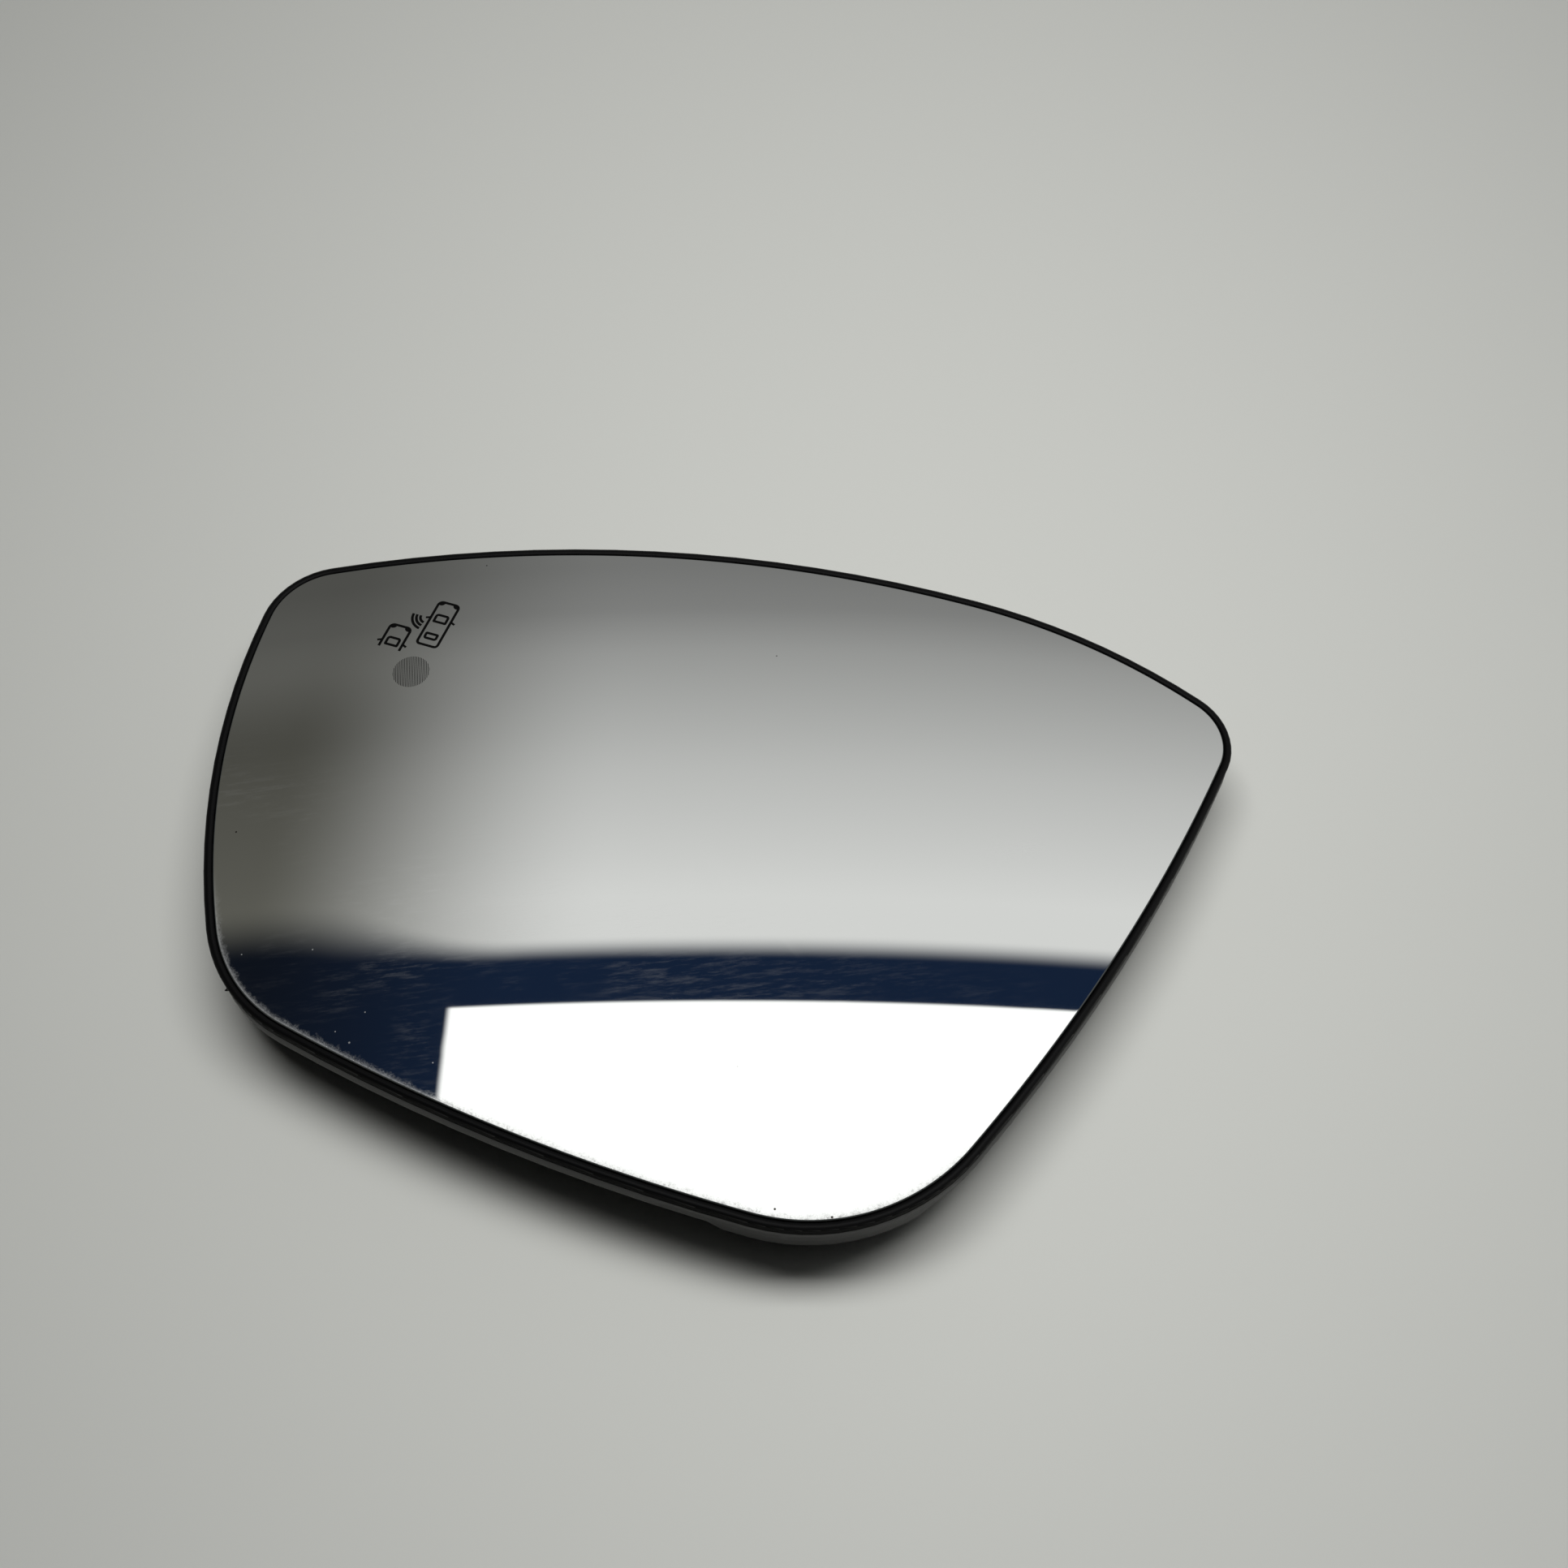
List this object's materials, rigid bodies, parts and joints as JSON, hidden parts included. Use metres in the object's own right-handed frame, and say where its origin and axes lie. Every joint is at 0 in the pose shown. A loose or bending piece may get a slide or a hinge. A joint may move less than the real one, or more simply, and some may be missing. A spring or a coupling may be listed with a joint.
{
  "type": "car door mirror glass",
  "caption": "Convex door mirror glass in a black rimmed plate with a heater, a round clip hub and a blind spot indicator behind the glass.",
  "frame": {"origin": "on the axis of the hub, in the plane of the hub's foot", "axes": "+X along the glass towards its blunt outer end, +Y up the glass as it hangs on the door, +Z out of the glass"},
  "size_m": [0.1889, 0.1327, 0.0182],
  "materials": {
    "mirror": "polished, convex",
    "heater_film": "satin film",
    "foam": "closed cell foam tape",
    "black_plastic": "satin rim, fine grain behind",
    "spring_steel": "bright wire",
    "brass": "plain stamped strip",
    "rivet_metal": "plain",
    "housing_plastic": "fine grain",
    "seal_foam": "soft foam",
    "diffuser": "milky sheet",
    "circuit_board": "lacquered board",
    "lamp": "clear lens on a pale body",
    "resistor": "plain",
    "cover_plastic": "fine grain",
    "screw_steel": "zinc plated"
  },
  "bodies": {
    "root": {"mirror_glass": "mirror", "heater_film": "heater_film", "bonding_foam": "foam", "backing_plate": "black_plastic", "hub_spring_wire": "spring_steel", "heater_terminal_upper": "brass", "heater_terminal_lower": "brass", "terminal_rivets": "rivet_metal", "indicator_housing": "housing_plastic", "indicator_seal": "seal_foam", "light_diffuser": "diffuser", "circuit_board": "circuit_board", "symbol_led": "lamp", "disc_led": "lamp", "board_resistors": "resistor", "contact_pins": "brass", "indicator_cover": "cover_plastic", "indicator_screws": "screw_steel"}
  },
  "joints": []
}
